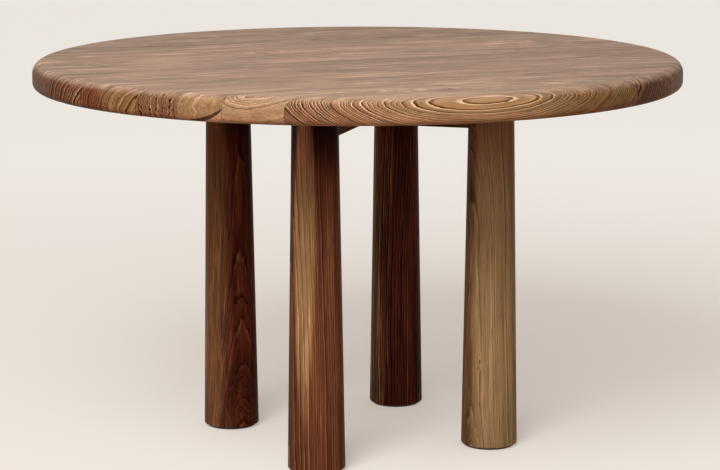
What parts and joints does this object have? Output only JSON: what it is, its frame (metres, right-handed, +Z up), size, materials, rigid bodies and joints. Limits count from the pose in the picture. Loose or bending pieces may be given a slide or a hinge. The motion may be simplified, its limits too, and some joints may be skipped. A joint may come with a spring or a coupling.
{
  "type": "round dining table",
  "caption": "Round solid wood dining table: a thick top with rounded edges on tapered round legs, with a hidden cross of beams under the top and levelling glides.",
  "frame": {"origin": "on the floor under the centre of the round top", "axes": "+Z up, +X along the front side of the square of legs, +Y to the back"},
  "size_m": [1.25, 1.25, 0.75],
  "materials": {
    "top_wood": "satin oil",
    "leg_wood": "satin oil",
    "beam_wood": "satin oil",
    "pin_wood": "bare",
    "black_bolt": "black oxide",
    "zinc": "zinc plated",
    "brass": "machined",
    "glide_plastic": "matte"
  },
  "bodies": {
    "table": {"top_board_01": "top_wood", "top_board_02": "top_wood", "top_board_03": "top_wood", "top_board_04": "top_wood", "top_board_05": "top_wood", "top_board_06": "top_wood", "top_board_07": "top_wood", "top_board_08": "top_wood", "top_board_09": "top_wood", "top_board_10": "top_wood", "leg_front_left": "leg_wood", "leg_front_right": "leg_wood", "leg_back_left": "leg_wood", "leg_back_right": "leg_wood", "cross_beam_upper": "beam_wood", "cross_beam_lower": "beam_wood", "lap_pin": "pin_wood", "loose_tenons": "pin_wood", "leg_bolts": "black_bolt", "leg_bolt_washers": "zinc", "top_screws": "zinc", "top_screw_washers": "zinc", "leg_top_inserts": "brass", "foot_inserts": "brass"},
    "glide_front_left": {"glide_base_front_left": "glide_plastic", "glide_stud_front_left": "zinc"},
    "glide_front_right": {"glide_base_front_right": "glide_plastic", "glide_stud_front_right": "zinc"},
    "glide_back_left": {"glide_base_back_left": "glide_plastic", "glide_stud_back_left": "zinc"},
    "glide_back_right": {"glide_base_back_right": "glide_plastic", "glide_stud_back_right": "zinc"}
  },
  "joints": [
    {"name": "glide_front_left_screw_out", "type": "slide", "parent": "table", "child": "glide_front_left", "axis": [0, 0, -1], "range_m": [0, 0.01]},
    {"name": "glide_front_right_screw_out", "type": "slide", "parent": "table", "child": "glide_front_right", "axis": [0, 0, -1], "range_m": [0, 0.01]},
    {"name": "glide_back_left_screw_out", "type": "slide", "parent": "table", "child": "glide_back_left", "axis": [0, 0, -1], "range_m": [0, 0.01]},
    {"name": "glide_back_right_screw_out", "type": "slide", "parent": "table", "child": "glide_back_right", "axis": [0, 0, -1], "range_m": [0, 0.01]}
  ]
}
